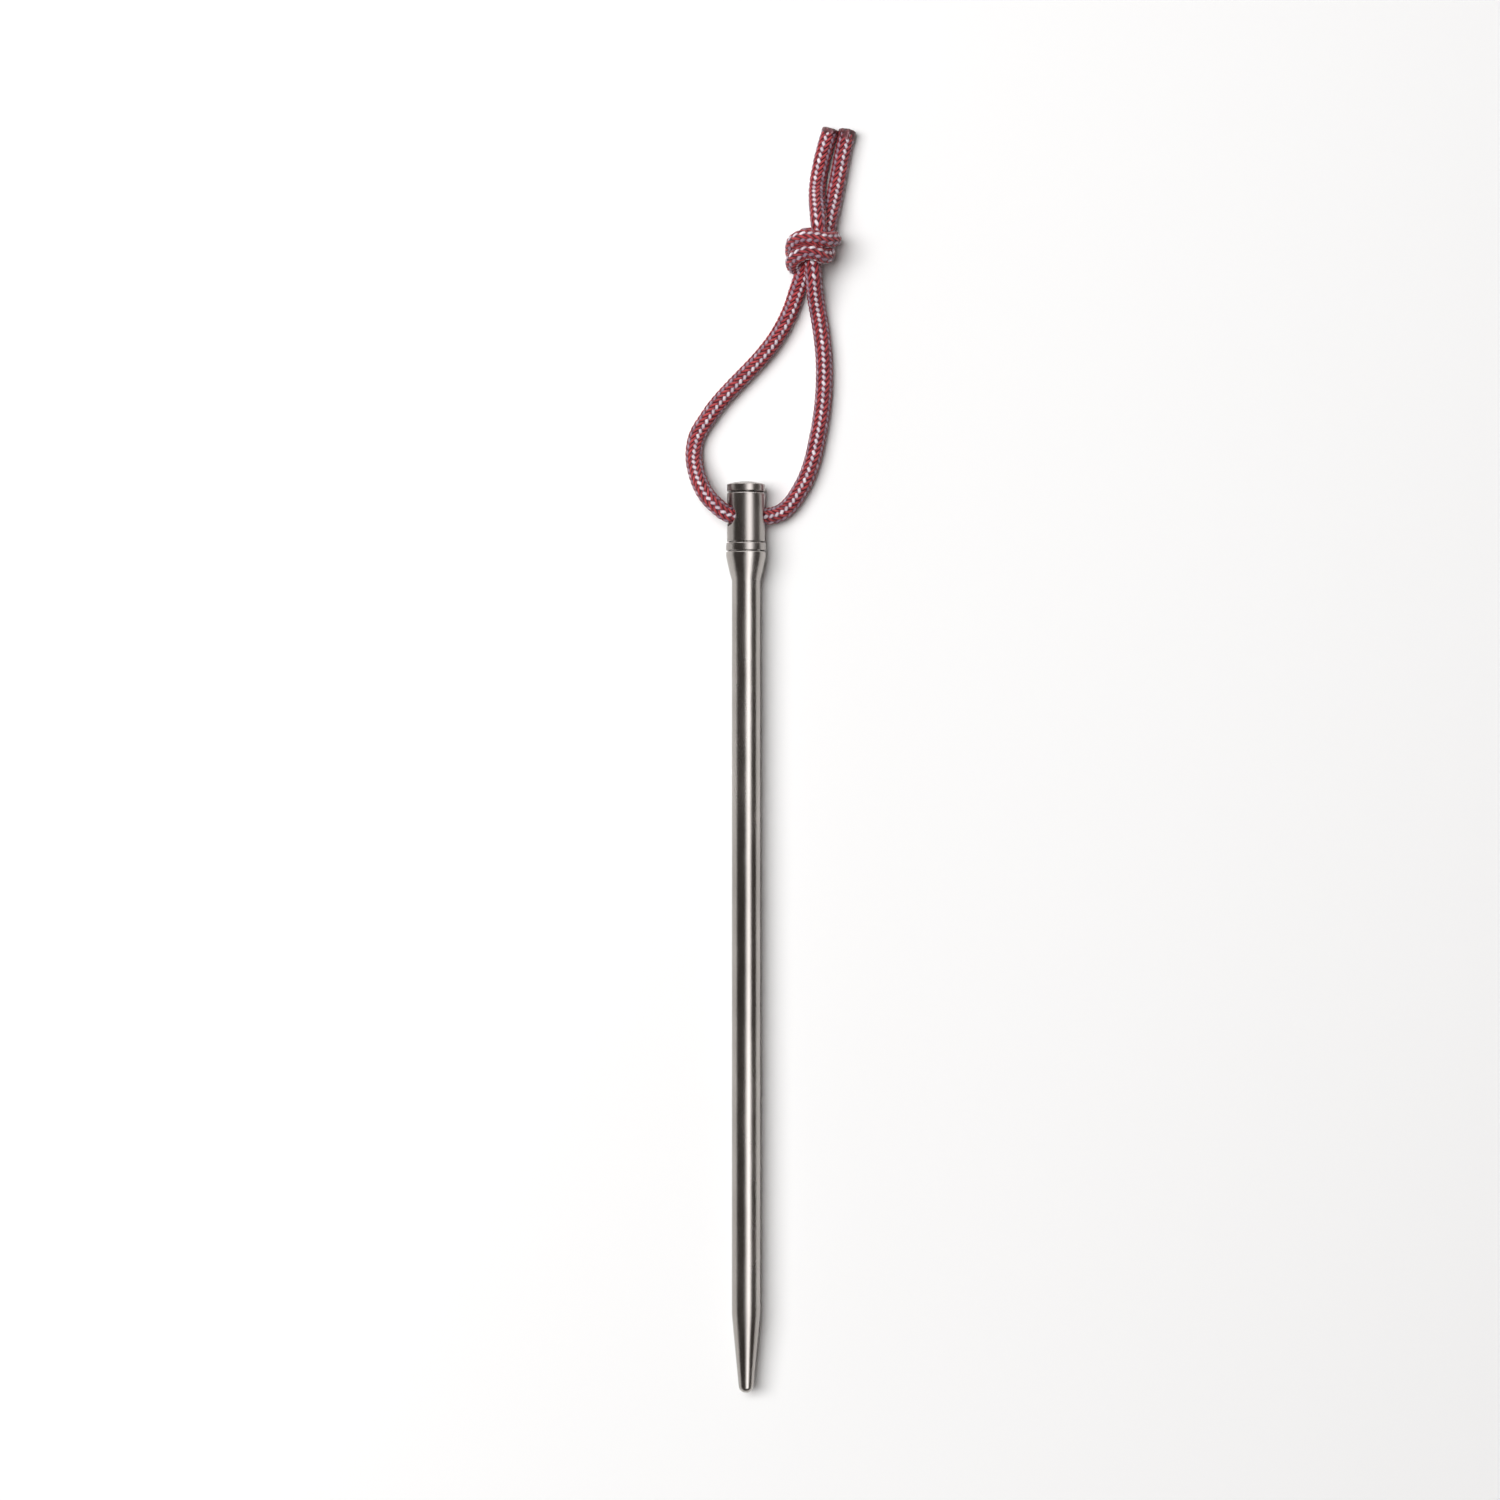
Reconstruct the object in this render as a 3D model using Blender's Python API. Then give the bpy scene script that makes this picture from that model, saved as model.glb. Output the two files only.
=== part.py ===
"""Tent stake: a tubular metal peg with a cross-drilled head and a knotted pull cord.

The stake lies on the ground plane z = 0 with its axis level along Y, head towards +Y and
point towards -Y, and the middle of its length at y = 0. The cord goes through the eye,
and its two legs, knot and tails lie on the same ground. Everything is worked out in
millimetres and scaled to metres where a mesh is made.
"""
import math

import bmesh
import bpy
from mathutils import Vector
from mathutils.geometry import interpolate_bezier

MM = 0.001

# Driving dimensions
LENGTH = 160.0
RING_RADIUS = 3.5
HEAD_RADIUS = 3.35
SHAFT_RADIUS = 2.5
WALL = 0.7
CORD_RADIUS = 1.5
SEAM = 0.16
FIT = 0.08
SEGMENTS = 48

# Stations along the stake, from its head end down
CAP_HEIGHT = 1.8
BARREL_LENGTH = 8.66
RING_WIDTH = 1.38
MOUTH_LAND = 0.6
FLARE_LENGTH = 4.5
NOSE_LENGTH = 13.8
NOSE_TIP_LENGTH = 1.25
TOP = LENGTH / 2
CAP_BOTTOM = TOP - CAP_HEIGHT
BARREL_TOP = CAP_BOTTOM - SEAM
BARREL_BOTTOM = BARREL_TOP - BARREL_LENGTH
RING_TOP = BARREL_BOTTOM - SEAM
RING_BOTTOM = RING_TOP - RING_WIDTH
MOUTH_TOP = RING_BOTTOM - SEAM
FLARE_TOP = MOUTH_TOP - MOUTH_LAND
FLARE_BOTTOM = FLARE_TOP - FLARE_LENGTH
NOSE_TOP = -TOP + NOSE_LENGTH
NOSE_ROUND = -TOP + NOSE_TIP_LENGTH

# Strike cap
DOME_RADIUS = 10.0
DOME_FLAT_RADIUS = 1.0
CAP_RIM_ROUND = 0.12
CAP_PLUG_RADIUS = 2.0
CAP_PLUG_LENGTH = 0.9

# Spigot that holds the head in the tube
SPIGOT_RADIUS = RING_RADIUS - WALL - FIT
SPIGOT_TIP_RADIUS = SHAFT_RADIUS - WALL - FIT
SPIGOT_REACH = 8.0
SPIGOT_END = FLARE_BOTTOM - SPIGOT_REACH

# Nose of the tube
NOSE_TIP_RADIUS = 1.3
BORE_END = NOSE_TOP + 2.0

# Eye across the head
EYE_STATION = 74.0
EYE_RADIUS = 1.9
EYE_MOUTH_ROUND = 0.25
EYE_ROLL = math.radians(15.5)
EYE_CENTRE = Vector((0.0, EYE_STATION, RING_RADIUS))
EYE_AXIS = Vector((-math.cos(EYE_ROLL), 0.0, math.sin(EYE_ROLL)))

# Knot
KNOT_CENTRE = Vector((11.8, 120.6, 4.55))
KNOT_HALF_SIZE = Vector((5.0, 3.75, 4.5))
KNOT_SQUARENESS = 2.5
KNOT_RINGS = 16
KNOT_SEGMENTS = 28

# Routes of the cord: hand-placed points, smoothed into a curve
GROUND = 1.52
POINT_SPACING = 2.1
SPAN_STEPS = 25
LEFT_LEG = [
    (-0.16, 74.0, 3.54),
    (-1.4, 74.0, 3.88),
    (-2.7, 74.1, 4.22),
    (-4.0, 74.7, 4.5),
    (-5.2, 75.7, 4.55),
    (-6.5, 77.0, 4.3),
    (-7.6, 78.7, 3.8),
    (-8.5, 80.9, 3.0),
    (-9.1, 83.6, 2.1),
    (-9.1, 86.0, 1.65),
    (-8.5, 88.4, GROUND),
    (-7.0, 90.9, GROUND),
    (-5.1, 93.6, GROUND),
    (-2.6, 96.4, GROUND),
    (0.1, 99.2, GROUND),
    (2.7, 102.0, GROUND),
    (4.9, 104.8, GROUND),
    (6.6, 107.6, GROUND),
    (7.9, 110.4, GROUND),
    (8.9, 113.4, 1.7),
    (9.75, 116.2, 2.4),
]
RIGHT_LEG = [
    (0.16, 74.0, 3.46),
    (1.4, 74.0, 3.12),
    (2.8, 73.95, 2.74),
    (4.6, 74.05, 2.3),
    (6.4, 74.8, 1.9),
    (8.1, 76.4, 1.6),
    (9.4, 78.4, GROUND),
    (10.7, 80.9, GROUND),
    (11.7, 83.8, GROUND),
    (12.35, 86.6, GROUND),
    (12.95, 89.6, GROUND),
    (13.4, 92.6, GROUND),
    (13.7, 95.8, GROUND),
    (13.8, 99.0, GROUND),
    (13.7, 102.4, GROUND),
    (13.35, 105.8, GROUND),
    (12.85, 109.0, 1.7),
    (12.35, 111.6, 2.5),
    (12.0, 114.0, 3.7),
    (11.8, 116.0, 4.7),
]
LEFT_TAIL = [
    (12.72, 125.1, 5.2),
    (12.6, 127.0, 4.5),
    (12.5, 129.0, 3.25),
    (12.5, 131.1, 1.95),
    (12.7, 133.2, GROUND),
    (13.25, 136.2, GROUND),
    (14.0, 139.2, GROUND),
    (14.85, 142.0, GROUND),
]
RIGHT_TAIL = [
    (14.4, 124.9, 2.8),
    (14.8, 126.9, 2.4),
    (15.3, 128.9, 1.9),
    (15.75, 131.1, 1.6),
    (16.35, 134.2, GROUND),
    (16.85, 137.0, GROUND),
    (17.35, 139.4, GROUND),
    (17.8, 141.6, GROUND),
]

METAL = ((0.36, 0.34, 0.32), 0.32, 1.0)
CORD = ((0.48, 0.09, 0.11), 0.75, 0.0)


def clear_scene():
    for item in list(bpy.data.objects):
        bpy.data.objects.remove(item, do_unlink=True)


def make_material(name, colour, roughness, metallic):
    material = bpy.data.materials.new(name)
    material.use_nodes = True
    shader = material.node_tree.nodes["Principled BSDF"]
    shader.inputs["Base Color"].default_value = (*colour, 1.0)
    shader.inputs["Roughness"].default_value = roughness
    shader.inputs["Metallic"].default_value = metallic
    return material


def add_object(name, data, material):
    item = bpy.data.objects.new(name, data)
    item.data.materials.append(material)
    bpy.context.scene.collection.objects.link(item)
    return item


def shade_round(mesh, crease_angle=30.0):
    mesh.shade_smooth()
    mesh.set_sharp_from_angle(angle=math.radians(crease_angle))


def arc(centre, radius, start, end, steps):
    """Points on a circular arc, angles in degrees, both ends included."""
    angles = [math.radians(start + (end - start) * i / steps) for i in range(steps + 1)]
    return [(centre[0] + radius * math.cos(a), centre[1] + radius * math.sin(a)) for a in angles]


def bulged(start, end, bulge, steps):
    """A straight run from start to end that swells outwards by bulge at its middle."""
    points = []
    for i in range(steps + 1):
        t = i / steps
        radius = start[0] + (end[0] - start[0]) * t + 4.0 * bulge * t * (1.0 - t)
        points.append((radius, start[1] + (end[1] - start[1]) * t))
    return points


def turned_mesh(name, outline, closed=False):
    """Spin a (radius, height) outline in millimetres about Z into a closed mesh in metres."""
    shape = bmesh.new()
    verts = [shape.verts.new((radius * MM, 0.0, height * MM)) for radius, height in outline]
    pairs = list(zip(verts, verts[1:]))
    if closed:
        pairs.append((verts[-1], verts[0]))
    edges = [shape.edges.new(pair) for pair in pairs]
    bmesh.ops.spin(
        shape,
        geom=verts + edges,
        axis=(0.0, 0.0, 1.0),
        cent=(0.0, 0.0, 0.0),
        angle=2.0 * math.pi,
        steps=SEGMENTS,
    )
    bmesh.ops.remove_doubles(shape, verts=shape.verts, dist=1e-6)
    bmesh.ops.recalc_face_normals(shape, faces=shape.faces)
    mesh = bpy.data.meshes.new(name)
    shape.to_mesh(mesh)
    shape.free()
    shade_round(mesh)
    return mesh


def lay_on_axis(item):
    """Turn a piece built along Z so that its axis is the stake's axis, with Z going to Y."""
    item.location = (0.0, 0.0, RING_RADIUS * MM)
    item.rotation_euler = (math.radians(-90.0), 0.0, 0.0)


def add_turned(name, outline, material, closed=False):
    item = add_object(name, turned_mesh(name, outline, closed), material)
    lay_on_axis(item)
    return item


def add_strike_cap(material):
    """Slightly domed striking disc with a short plug that sits in the head."""
    dome_drop = HEAD_RADIUS**2 / (2.0 * DOME_RADIUS)
    rim = TOP - dome_drop
    dome = []
    for i in range(6):
        radius = DOME_FLAT_RADIUS + (HEAD_RADIUS - CAP_RIM_ROUND - DOME_FLAT_RADIUS) * i / 5
        drop = (radius**2 - DOME_FLAT_RADIUS**2) / (2.0 * DOME_RADIUS)
        dome.append((radius, TOP - drop))
    outline = [(0.0, TOP)] + dome
    outline += [(HEAD_RADIUS, rim - CAP_RIM_ROUND)]
    outline += [(HEAD_RADIUS, CAP_BOTTOM)]
    outline += [(CAP_PLUG_RADIUS, CAP_BOTTOM)]
    outline += [(CAP_PLUG_RADIUS, CAP_BOTTOM - CAP_PLUG_LENGTH)]
    outline += [(0.0, CAP_BOTTOM - CAP_PLUG_LENGTH)]
    return add_turned("strike_cap", outline, material)


def add_eye_head(material):
    """Round head with a recess for the cap, a cross-drilled eye and a spigot below."""
    edge = 0.15
    recess_floor = CAP_BOTTOM - CAP_PLUG_LENGTH - SEAM
    outline = [
        (0.0, recess_floor),
        (CAP_PLUG_RADIUS + FIT, recess_floor),
        (CAP_PLUG_RADIUS + FIT, BARREL_TOP),
        (HEAD_RADIUS - edge, BARREL_TOP),
        (HEAD_RADIUS, BARREL_TOP - edge),
        (HEAD_RADIUS, BARREL_BOTTOM + edge),
        (HEAD_RADIUS - edge, BARREL_BOTTOM),
        (SPIGOT_RADIUS, BARREL_BOTTOM),
        (SPIGOT_RADIUS, FLARE_TOP),
        (SPIGOT_TIP_RADIUS, FLARE_BOTTOM),
        (SPIGOT_TIP_RADIUS, SPIGOT_END),
        (0.0, SPIGOT_END),
    ]
    head = add_turned("eye_head", outline, material)
    cut = head.modifiers.new("eye", "BOOLEAN")
    cut.operation = "DIFFERENCE"
    cut.solver = "EXACT"
    cut.object = add_eye_cutter(material)
    return head


def add_eye_cutter(material):
    """The hole across the head, its mouths rounded where they meet the head's side."""
    reach = HEAD_RADIUS + 1.0
    straight = HEAD_RADIUS - EYE_MOUTH_ROUND
    mouth = arc((EYE_RADIUS + EYE_MOUTH_ROUND, straight), EYE_MOUTH_ROUND, 180.0, 90.0, 4)
    upper = mouth + [(mouth[-1][0], reach), (0.0, reach)]
    lower = [(radius, -height) for radius, height in reversed(upper)]
    cutter = add_object("eye_cutter", turned_mesh("eye_cutter", lower + upper), material)
    cutter.location = EYE_CENTRE * MM
    cutter.rotation_euler = EYE_AXIS.to_track_quat("Z", "Y").to_euler()
    cutter.hide_render = True
    cutter.display_type = "WIRE"
    return cutter


def add_collar_ring(material):
    """Ring between the head and the mouth of the tube, its upper rim rounded."""
    rim_round = 0.4
    inner = SPIGOT_RADIUS + FIT
    upper = arc((RING_RADIUS - rim_round, RING_TOP - rim_round), rim_round, 90.0, 0.0, 4)
    outline = [(inner, RING_TOP)] + upper + [(RING_RADIUS, RING_BOTTOM), (inner, RING_BOTTOM)]
    return add_turned("collar_ring", outline, material, closed=True)


def add_shaft_tube(material):
    """Tube with its mouth swaged out over the spigot and its nose swaged to a point."""
    rim_round = 0.15
    nose = [(NOSE_TIP_RADIUS * math.cos(a), NOSE_ROUND - (NOSE_ROUND + TOP) * math.sin(a))
            for a in [math.radians(15.0 * i) for i in range(6)]]
    outline = [
        (0.0, BORE_END),
        (SHAFT_RADIUS - WALL, BORE_END + 1.0),
        (SHAFT_RADIUS - WALL, FLARE_BOTTOM),
        (RING_RADIUS - WALL, FLARE_TOP),
        (RING_RADIUS - WALL, MOUTH_TOP),
        (RING_RADIUS - rim_round, MOUTH_TOP),
        (RING_RADIUS, MOUTH_TOP - rim_round),
    ]
    outline += bulged((RING_RADIUS, FLARE_TOP), (SHAFT_RADIUS, FLARE_BOTTOM), 0.12, 6)
    outline += [(SHAFT_RADIUS, NOSE_TOP)]
    outline += nose
    outline += [(0.0, -TOP)]
    return add_turned("shaft_tube", outline, material)


def smooth_route(points, spacing):
    """Evenly spaced points on a smooth curve through the given ones."""
    knots = [Vector(point) for point in points]
    knots = [2.0 * knots[0] - knots[1]] + knots + [2.0 * knots[-1] - knots[-2]]
    fine = []
    for i in range(1, len(knots) - 2):
        fine += curve_span(*knots[i - 1:i + 3])
    fine.append(knots[-2])
    return even_points(fine, spacing)


def curve_span(before, start, end, after):
    """Bezier points from start up to end, each handle parallel to the chord across its knot."""
    reach = (end - start).length / 3.0
    handle_out = start + (end - before).normalized() * reach
    handle_in = end - (after - start).normalized() * reach
    return interpolate_bezier(start, handle_out, handle_in, end, SPAN_STEPS)[:-1]


def even_points(fine, spacing):
    """Walk along a fine polyline and keep points at equal steps, both ends included."""
    lengths = [0.0]
    for a, b in zip(fine, fine[1:]):
        lengths.append(lengths[-1] + (b - a).length)
    count = max(2, round(lengths[-1] / spacing))
    points = []
    j = 0
    for i in range(count + 1):
        target = lengths[-1] * i / count
        while j < len(fine) - 2 and lengths[j + 1] < target:
            j += 1
        step = (target - lengths[j]) / (lengths[j + 1] - lengths[j])
        points.append(fine[j].lerp(fine[j + 1], step))
    return points


def add_pivot():
    """Empty at the middle of the eye, about which the cord swings."""
    pivot = bpy.data.objects.new("pull_loop_pivot", None)
    pivot.location = EYE_CENTRE * MM
    bpy.context.scene.collection.objects.link(pivot)
    return pivot


def add_cord_tube(name, route, pivot, material):
    curve = bpy.data.curves.new(name, "CURVE")
    curve.dimensions = "3D"
    curve.bevel_depth = CORD_RADIUS * MM
    curve.bevel_resolution = 2
    curve.use_fill_caps = True
    points = smooth_route(route, POINT_SPACING)
    spline = curve.splines.new("POLY")
    spline.points.add(len(points) - 1)
    for target, point in zip(spline.points, points):
        target.co = (*((point - EYE_CENTRE) * MM), 1.0)
    item = add_object(name, curve, material)
    item.parent = pivot
    return item


def rounded_power(value, squareness):
    return math.copysign(abs(value) ** (2.0 / squareness), value)


def add_knot(pivot, material):
    """Outer shape of the overhand knot in the doubled cord: a rounded block."""
    shape = bmesh.new()
    bmesh.ops.create_uvsphere(shape, u_segments=KNOT_SEGMENTS, v_segments=KNOT_RINGS, radius=1.0)
    for vert in shape.verts:
        across = math.hypot(vert.co.x, vert.co.y)
        angle = math.atan2(vert.co.y, vert.co.x)
        flat = rounded_power(across, KNOT_SQUARENESS)
        side = (
            flat * rounded_power(math.cos(angle), KNOT_SQUARENESS),
            flat * rounded_power(math.sin(angle), KNOT_SQUARENESS),
            rounded_power(vert.co.z, KNOT_SQUARENESS),
        )
        local = KNOT_CENTRE + Vector([s * h for s, h in zip(side, KNOT_HALF_SIZE)])
        vert.co = (local - EYE_CENTRE) * MM
    mesh = bpy.data.meshes.new("cord_knot")
    shape.to_mesh(mesh)
    shape.free()
    mesh.shade_smooth()
    item = add_object("cord_knot", mesh, material)
    item.parent = pivot
    return item


def build():
    clear_scene()
    metal = make_material("metal", *METAL)
    cord = make_material("cord", *CORD)
    add_strike_cap(metal)
    add_eye_head(metal)
    add_collar_ring(metal)
    add_shaft_tube(metal)
    pivot = add_pivot()
    add_cord_tube("cord_leg_left", LEFT_LEG, pivot, cord)
    add_cord_tube("cord_leg_right", RIGHT_LEG, pivot, cord)
    add_knot(pivot, cord)
    add_cord_tube("cord_tail_left", LEFT_TAIL, pivot, cord)
    add_cord_tube("cord_tail_right", RIGHT_TAIL, pivot, cord)


build()
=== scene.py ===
"""Tent stake, dressed for its picture: turned metal, braided cord, floor, light and camera.

The frame is the CAD model's: the stake lies along Y on the plane z = 0. Sizes are worked out
in millimetres and scaled to metres where a mesh is made; the cord's routes are in metres.
"""
import math
import random

import bmesh
import bpy
import numpy as np
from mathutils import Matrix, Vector
from mathutils.geometry import interpolate_bezier


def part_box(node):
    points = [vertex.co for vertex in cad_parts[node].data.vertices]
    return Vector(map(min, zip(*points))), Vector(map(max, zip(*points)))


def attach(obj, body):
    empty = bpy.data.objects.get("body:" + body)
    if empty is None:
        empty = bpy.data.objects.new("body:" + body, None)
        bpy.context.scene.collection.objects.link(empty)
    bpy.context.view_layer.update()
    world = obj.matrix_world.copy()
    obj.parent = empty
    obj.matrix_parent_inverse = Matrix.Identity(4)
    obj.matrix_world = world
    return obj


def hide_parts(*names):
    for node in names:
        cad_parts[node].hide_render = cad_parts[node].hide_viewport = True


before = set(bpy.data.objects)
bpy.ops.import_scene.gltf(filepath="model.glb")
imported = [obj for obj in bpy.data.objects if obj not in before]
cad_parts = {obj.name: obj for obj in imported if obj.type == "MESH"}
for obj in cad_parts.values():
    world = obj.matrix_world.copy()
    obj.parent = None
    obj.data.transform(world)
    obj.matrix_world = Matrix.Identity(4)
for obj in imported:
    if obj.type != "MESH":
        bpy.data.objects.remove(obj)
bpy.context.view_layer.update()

MM = 0.001

# Stations along the stake and radii about its axis, in millimetres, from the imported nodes
CAP_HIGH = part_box("strike_cap")[1]
HEAD_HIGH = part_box("eye_head")[1]
RING_LOW, RING_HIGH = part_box("collar_ring")
TUBE_LOW, TUBE_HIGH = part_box("shaft_tube")
SEAM = 0.16
TOP = CAP_HIGH.y / MM
BARREL_TOP = HEAD_HIGH.y / MM
CAP_BOTTOM = BARREL_TOP + SEAM
RING_TOP = RING_HIGH.y / MM
RING_BOTTOM = RING_LOW.y / MM
BARREL_BOTTOM = RING_TOP + SEAM
MOUTH_TOP = TUBE_HIGH.y / MM
TIP = TUBE_LOW.y / MM
HEAD_RADIUS = CAP_HIGH.x / MM
RING_RADIUS = RING_HIGH.x / MM
AXIS_HEIGHT = RING_RADIUS
SHAFT_RADIUS = 2.5
WALL = 0.7
FIT = 0.08
DOME_RADIUS = 10.0
PLUG_RADIUS = 2.0
PLUG_BOTTOM = CAP_BOTTOM - 0.9
RECESS_FLOOR = PLUG_BOTTOM - 0.1
FLARE_TOP = MOUTH_TOP - 0.6
FLARE_BOTTOM = FLARE_TOP - 4.5
SPIGOT_END = FLARE_BOTTOM - 8.0
NOSE_TOP = TIP + 13.8
NOSE_RADIUS = 1.3
NOSE_LENGTH = 1.25

# Eye across the head, rolled about the stake's axis so that its -X mouth is the higher one
EYE_STATION = 74.0
EYE_RADIUS = 1.9
EYE_ROUND = 0.25
MOUTH_REACH = EYE_RADIUS + EYE_ROUND
MOUTH_DEPTH = HEAD_RADIUS - EYE_ROUND
EYE_ROLL = math.radians(15.5)
EYE_OUT = Vector((-math.cos(EYE_ROLL), 0.0, math.sin(EYE_ROLL)))
EYE_UP = Vector((math.sin(EYE_ROLL), 0.0, math.cos(EYE_ROLL)))
ALONG = Vector((0.0, 1.0, 0.0))
AXIS_POINT = Vector((0.0, 0.0, AXIS_HEIGHT))

# Fineness of the metal meshes
MOUTH_POINTS = 256
SEGMENTS = MOUTH_POINTS // 2
ARC_STEP_DEGREES = 12.0
SHARP_ANGLE = math.radians(38.0)

# Cord, in metres: white strands wind one way and red strands the other, round a soft core.
# HELIX_RATE is a strand's turn in radians per metre, and FIBRE_SHIFT keeps the streaks of one
# strand unlike those of the next.
STRANDS_EACH_WAY = 12
HELIX_RATE = 0.508 / MM
STRAND_MID_RADIUS = 1.2 * MM
STRAND_LIFT = 0.15 * MM
WHITE_HALF_WIDTH = 0.36 * MM
RED_HALF_WIDTH = 0.27 * MM
STRAND_HALF_THICKNESS = 0.18 * MM
STRAND_SIDES = 6
CORE_RADIUS = 1.06 * MM
CORE_SIDES = 24
FIBRE_SHIFT = 50.0
CORD_STEP = 0.0002
SPAN_STEPS = 25
KNOT_SQUEEZE = 0.09
KNOT_EDGE = 1.0 * MM
END_PINCH = 0.12
END_PINCH_REACH = 0.35 * MM

# Lines of white picks along the cord: how many, the share of the way round that they take, how
# sharply a strand dives beside them, and how much every second one is duller
WHITE_LINES = 6
WHITE_LINE_SHARE = 0.36
DIVE_SHARPNESS = 3.0
DULL_LINE_LOSS = 0.42

# Material slots of the cord's mesh
WHITE, RED, CORE, MELTED = range(4)

# Route of each half of the cord, in metres, from the middle of the eye to its cut end
LEFT_ROUTE = [
    (-0.00016, 0.0740, 0.00354),
    (-0.0014, 0.0740, 0.00388),
    (-0.0027, 0.0741, 0.00422),
    (-0.0040, 0.0747, 0.0045),
    (-0.0052, 0.0757, 0.00455),
    (-0.0065, 0.0770, 0.0043),
    (-0.0076, 0.0787, 0.0038),
    (-0.0085, 0.0809, 0.0030),
    (-0.0091, 0.0836, 0.0021),
    (-0.0091, 0.0860, 0.00165),
    (-0.0085, 0.0884, 0.00152),
    (-0.0070, 0.0909, 0.00152),
    (-0.0051, 0.0936, 0.00152),
    (-0.0026, 0.0964, 0.00152),
    (0.0001, 0.0992, 0.00152),
    (0.0027, 0.1020, 0.00152),
    (0.0049, 0.1048, 0.00152),
    (0.0066, 0.1076, 0.00152),
    (0.0079, 0.1104, 0.00152),
    (0.0089, 0.1134, 0.0017),
    (0.00975, 0.1162, 0.0024),
    (0.0100, 0.1187, 0.0034),
    (0.0099, 0.1209, 0.0041),
    (0.0099, 0.1225, 0.0038),
    (0.0106, 0.1233, 0.0027),
    (0.0120, 0.1234, 0.0017),
    (0.0136, 0.1231, 0.00145),
    (0.0149, 0.1228, 0.0022),
    (0.01535, 0.1225, 0.0040),
    (0.0150, 0.1221, 0.0058),
    (0.0138, 0.1219, 0.0070),
    (0.0119, 0.1222, 0.0075),
    (0.0099, 0.1223, 0.0071),
    (0.0085, 0.1217, 0.0057),
    (0.0082, 0.1208, 0.0039),
    (0.0085, 0.1199, 0.0022),
    (0.0102, 0.1198, 0.0015),
    (0.0120, 0.1205, 0.0019),
    (0.0130, 0.1218, 0.0036),
    (0.0129, 0.1234, 0.0049),
    (0.01272, 0.1251, 0.0052),
    (0.0126, 0.1270, 0.0045),
    (0.0125, 0.1290, 0.00325),
    (0.0125, 0.1311, 0.00195),
    (0.0127, 0.1332, 0.00152),
    (0.01325, 0.1362, 0.00152),
    (0.0140, 0.1392, 0.00152),
    (0.01485, 0.1420, 0.00152),
]
RIGHT_ROUTE = [
    (0.00016, 0.0740, 0.00346),
    (0.0014, 0.0740, 0.00312),
    (0.0028, 0.07395, 0.00274),
    (0.0046, 0.07405, 0.0023),
    (0.0064, 0.0748, 0.0019),
    (0.0081, 0.0764, 0.0016),
    (0.0094, 0.0784, 0.00152),
    (0.0107, 0.0809, 0.00152),
    (0.0117, 0.0838, 0.00152),
    (0.01235, 0.0866, 0.00152),
    (0.01295, 0.0896, 0.00152),
    (0.0134, 0.0926, 0.00152),
    (0.0137, 0.0958, 0.00152),
    (0.0138, 0.0990, 0.00152),
    (0.0137, 0.1024, 0.00152),
    (0.01335, 0.1058, 0.00152),
    (0.01285, 0.1090, 0.0017),
    (0.01235, 0.1116, 0.0025),
    (0.0120, 0.1140, 0.0037),
    (0.0118, 0.1160, 0.0047),
    (0.0116, 0.1180, 0.0050),
    (0.0112, 0.1199, 0.0047),
    (0.0111, 0.1213, 0.0037),
    (0.0117, 0.1217, 0.0023),
    (0.0129, 0.1214, 0.0015),
    (0.0140, 0.1208, 0.0020),
    (0.0143, 0.1201, 0.0035),
    (0.0141, 0.1194, 0.0052),
    (0.0132, 0.11925, 0.0066),
    (0.0121, 0.11965, 0.00725),
    (0.0108, 0.1198, 0.0073),
    (0.0095, 0.1194, 0.0068),
    (0.0084, 0.1188, 0.0055),
    (0.0083, 0.1181, 0.0037),
    (0.0090, 0.1177, 0.0021),
    (0.0104, 0.1178, 0.0015),
    (0.0118, 0.1186, 0.0021),
    (0.0129, 0.1199, 0.0032),
    (0.0136, 0.1216, 0.0034),
    (0.0140, 0.1233, 0.0031),
    (0.0144, 0.1249, 0.0028),
    (0.0148, 0.1269, 0.0024),
    (0.0153, 0.1289, 0.0019),
    (0.01575, 0.1311, 0.0016),
    (0.01635, 0.1342, 0.00152),
    (0.01685, 0.1370, 0.00152),
    (0.01735, 0.1394, 0.00152),
    (0.0178, 0.1416, 0.00152),
]

# First and last route points of the knot
KNOT_FIRST = 20
KNOT_LAST = 40

# Where a line of white picks lies: (first route point, last one, degrees round from the top
# at the first and at the last) for each nearly level stretch
LEFT_LINES = [(1, 8, -9, -5), (9, 19, 7, 27), (30, 32, 30, 30), (41, 43, -20, -26),
              (44, 47, -24, -14)]
RIGHT_LINES = [(1, 6, 12, -2), (7, 13, -5, -5), (14, 19, -5, 3), (29, 31, 30, 30),
               (41, 47, 10, 14)]

# Camera straight above the middle of the stake and its loop together, looking down
CAMERA_PLACE = (0.70 * MM, 32.83 * MM, 625.4 * MM)
LENS = 85.0
SENSOR_WIDTH = 36.0

# Softboxes, in metres and watts
KEY_CENTRE = (-0.85, 0.30, 1.4)
KEY_SIZE = (1.6, 0.9)
KEY_POWER = 38.0
BACK_CENTRE = (0.1, 1.6, 0.8)
BACK_SIZE = (3.0, 1.1)
BACK_POWER = 26.0
PLAIN_WHITE = (1.0, 1.0, 1.0)
COOL_WHITE = (0.98, 0.985, 1.0)

# Strip softbox, built of nested strips: width of each and its share of the brightness
STRIPS = [(1.8, 0.09), (1.45, 0.16), (1.1, 0.25), (0.8, 0.27), (0.45, 0.23)]
STRIP_CENTRE = Vector((0.585, 0.03, 1.4))
STRIP_DROP = Vector((0.0, 0.0, 0.01))
STRIP_LENGTH = 3.0
STRIP_POWER = 28.0

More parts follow.
